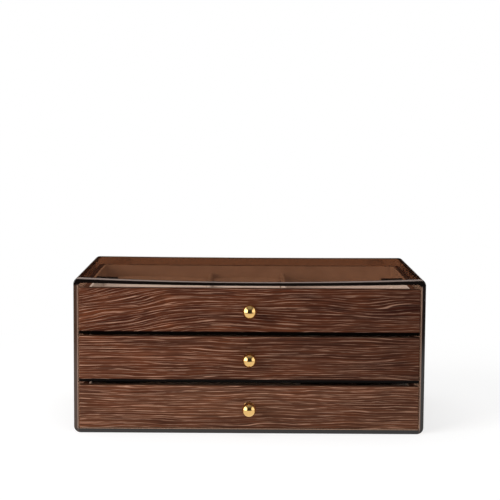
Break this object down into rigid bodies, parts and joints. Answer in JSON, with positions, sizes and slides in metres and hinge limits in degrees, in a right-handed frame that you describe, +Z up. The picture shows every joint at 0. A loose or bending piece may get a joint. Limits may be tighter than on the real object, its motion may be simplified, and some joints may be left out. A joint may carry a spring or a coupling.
{
  "type": "jewelry organizer",
  "caption": "Smoked clear plastic case holding shallow, velvet-lined jewelry drawers with wood-grain fronts, small round gold knobs, dividers and ring rolls.",
  "frame": {"origin": "middle of the case's footprint, without the knobs, on the surface that it stands on", "axes": "+X to the right seen from the front, +Y from the drawer fronts to the back, +Z up"},
  "size_m": [0.24, 0.1495, 0.1074],
  "materials": {
    "smoked_plastic": "polished, smoked brown and transparent",
    "front_walnut": "dark open-pored walnut, satin, with eased edges",
    "box_wood": "dark stained, satin",
    "velvet": "short-pile beige velvet",
    "gold_metal": "polished gold",
    "screw_steel": "plain zinc"
  },
  "bodies": {
    "case": {"case_sleeve": "smoked_plastic", "back_panel": "smoked_plastic", "lower_shelf": "smoked_plastic", "upper_shelf": "smoked_plastic", "top_stop_lug_left": "smoked_plastic", "top_stop_lug_right": "smoked_plastic", "middle_stop_lug_left": "smoked_plastic", "middle_stop_lug_right": "smoked_plastic", "bottom_stop_lug_left": "smoked_plastic", "bottom_stop_lug_right": "smoked_plastic"},
    "top_drawer": {"top_drawer_front": "front_walnut", "top_drawer_base": "box_wood", "top_drawer_side_left": "box_wood", "top_drawer_side_right": "box_wood", "top_drawer_rear": "box_wood", "top_drawer_stop_tab_left": "smoked_plastic", "top_drawer_stop_tab_right": "smoked_plastic", "top_drawer_lining": "velvet", "top_drawer_knob": "gold_metal", "top_drawer_knob_screw": "screw_steel", "top_drawer_divider_left": "velvet", "top_drawer_divider_right": "velvet", "top_drawer_ring_insert_left": "velvet", "top_drawer_ring_insert_middle": "velvet"},
    "middle_drawer": {"middle_drawer_front": "front_walnut", "middle_drawer_base": "box_wood", "middle_drawer_side_left": "box_wood", "middle_drawer_side_right": "box_wood", "middle_drawer_rear": "box_wood", "middle_drawer_stop_tab_left": "smoked_plastic", "middle_drawer_stop_tab_right": "smoked_plastic", "middle_drawer_lining": "velvet", "middle_drawer_knob": "gold_metal", "middle_drawer_knob_screw": "screw_steel", "middle_drawer_divider_left": "velvet", "middle_drawer_divider_centre": "velvet", "middle_drawer_divider_right": "velvet", "middle_drawer_long_divider": "velvet"},
    "bottom_drawer": {"bottom_drawer_front": "front_walnut", "bottom_drawer_base": "box_wood", "bottom_drawer_side_left": "box_wood", "bottom_drawer_side_right": "box_wood", "bottom_drawer_rear": "box_wood", "bottom_drawer_stop_tab_left": "smoked_plastic", "bottom_drawer_stop_tab_right": "smoked_plastic", "bottom_drawer_lining": "velvet", "bottom_drawer_knob": "gold_metal", "bottom_drawer_knob_screw": "screw_steel", "bottom_drawer_divider": "velvet"}
  },
  "joints": [
    {"name": "top_drawer_slide", "type": "slide", "parent": "case", "child": "top_drawer", "axis": [0, -1, 0], "range_m": [0, 0.1127]},
    {"name": "middle_drawer_slide", "type": "slide", "parent": "case", "child": "middle_drawer", "axis": [0, -1, 0], "range_m": [0, 0.1127]},
    {"name": "bottom_drawer_slide", "type": "slide", "parent": "case", "child": "bottom_drawer", "axis": [0, -1, 0], "range_m": [0, 0.1127]}
  ]
}
